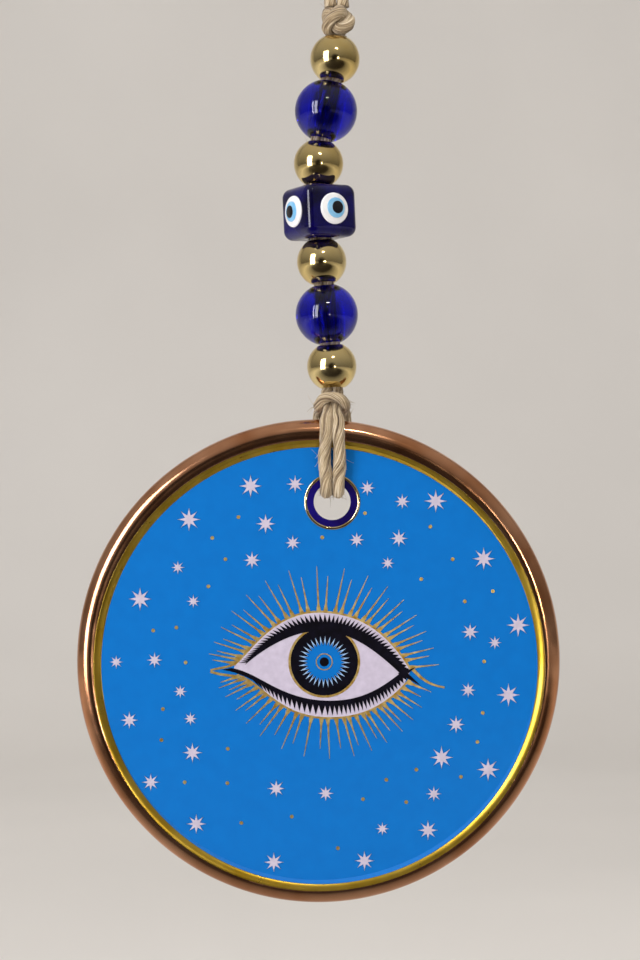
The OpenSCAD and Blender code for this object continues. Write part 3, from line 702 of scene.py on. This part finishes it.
def softbox(name, azimuth, elevation, distance, width, height, watts, colour="#FFFFFF", round_light=False):
    """An area light that faces the ornament. Azimuth 0 is straight in front, and 90 to its right."""
    data = bpy.data.lights.new(name, "AREA")
    data.shape = "ELLIPSE" if round_light else "RECTANGLE"
    data.size, data.size_y, data.energy = width, height, watts
    data.color = rgb(colour)[:3]
    o = bpy.data.objects.new(name, data)
    a, e = math.radians(azimuth), math.radians(elevation)
    away = np.array([math.sin(a) * math.cos(e), -math.cos(a) * math.cos(e), math.sin(e)])
    o.location = np.array([0, 0, -0.15]) + away * distance
    o.rotation_mode = "QUATERNION"
    o.rotation_quaternion = Vector(away).to_track_quat("Z", "Y")
    bpy.context.scene.collection.objects.link(o)
    return o


softbox("window_left", -38, 7, 0.9, 0.17, 0.8, 4.1, "#FBFAFF")
softbox("window_left_far", -50, 7, 0.9, 0.06, 0.75, 2.3, "#FBFAFF")
softbox("front_fill", 30, 48, 1.1, 0.8, 0.35, 1.4, "#FFF6EC").visible_glossy = False
softbox("lamp_right", 14, -2, 1.0, 0.035, 0.035, 0.7, "#FFF6E8", True)
softbox("lamp_high", 5, 42, 1.0, 0.035, 0.035, 0.5, "#FFF6E8", True)
softbox("lamp_high_2", 11, 42, 1.0, 0.035, 0.035, 0.5, "#FFF6E8", True)
# This one shines past the ornament at the wall behind it
wall_wash = softbox("wall_wash", 0, 75, 1.2, 2.4, 0.3, 10)
wall_wash.rotation_quaternion = Vector((0, -0.75, 0.66)).to_track_quat("Z", "Y")
wall_wash.visible_glossy = False

world = bpy.data.worlds.new("room")
bpy.context.scene.world = world
world.use_nodes = True
wt = world.node_tree
wt.nodes.clear()
# The room is brighter overhead than at eye level
way = add(wt, "ShaderNodeSeparateXYZ", None, Vector=add(wt, "ShaderNodeTexCoord").outputs["Generated"])
strength = span(wt, way.outputs["Z"], 0.2, 0.66)
background = add(wt, "ShaderNodeBackground", None, Color=rgb("#E2DCD8"), Strength=strength)
add(wt, "ShaderNodeOutputWorld", None, Surface=background.outputs["Background"])

# Floor and backdrop in one sweep, in metres: flat, then a quarter circle up to an upright wall behind
FLOOR_Z, WALL_Y, SWEEP_R = -0.34, 1.4, 0.5
bend = np.linspace(0, np.pi / 2, 24)
sweep = [(WALL_Y - SWEEP_R * (1 - math.sin(b)), FLOOR_Z + SWEEP_R * (1 - math.cos(b))) for b in bend]
sweep = [(-3.0, FLOOR_Z), *sweep, (WALL_Y, 2.0)]
floor_mesh = bpy.data.meshes.new("floor")
floor_mesh.from_pydata(
    [(x, y, z) for y, z in sweep for x in (-3, 3)], [],
    [(2 * i, 2 * i + 1, 2 * i + 3, 2 * i + 2) for i in range(len(sweep) - 1)],
)
floor_mesh.polygons.foreach_set("use_smooth", [True] * len(floor_mesh.polygons))
floor = bpy.data.objects.new("floor", floor_mesh)
bpy.context.scene.collection.objects.link(floor)
m_floor, tree, s = material("pale_floor", Roughness=0.9)
tree.links.new(ramp(tree, noise(tree, 3), (0.3, "#E4E1DC"), (0.7, "#ECE9E4")), s.inputs["Base Color"])
floor_mesh.materials.append(m_floor)


def dark_card(name, centre, half_w, half_h, upright):
    """A dark card that only shows in reflections, and fades out towards its edges."""
    across, up = (half_w, 0, 0), ((0, 0, half_h) if upright else (0, half_h, 0))
    corners = [
        [centre[k] + i * across[k] + j * up[k] for k in range(3)]
        for i, j in ((-1, -1), (1, -1), (1, 1), (-1, 1))
    ]
    mesh = bpy.data.meshes.new(name)
    mesh.from_pydata(corners, [], [(0, 1, 2, 3)])
    o = bpy.data.objects.new(name, mesh)
    bpy.context.scene.collection.objects.link(o)
    m, tree, s = material(name, Base_Color=rgb("#120A0A"), Roughness=0.9)
    scale = (1 / half_w, 0 if upright else 1 / half_h, 1 / half_h if upright else 0)
    place = add(tree, "ShaderNodeMapping", None, Vector=add(tree, "ShaderNodeTexCoord").outputs["Object"],
                Location=[-c * k for c, k in zip(centre, scale)], Scale=scale)
    fade = add(tree, "ShaderNodeTexGradient", {"gradient_type": "SPHERICAL"}, Vector=place.outputs["Vector"])
    alpha = add(tree, "ShaderNodeMapRange", None, Value=fade.outputs["Fac"], From_Max=0.5)
    tree.links.new(alpha.outputs["Result"], s.inputs["Alpha"])
    mesh.materials.append(m)
    o.visible_camera = False
    o.visible_shadow = False
    o.visible_diffuse = False


dark_card("card_below", (0.0, -0.58, -0.33), 0.9, 0.8, False)
dark_card("card_front", (0.0, -1.1, -0.2), 0.44, 0.44, True)
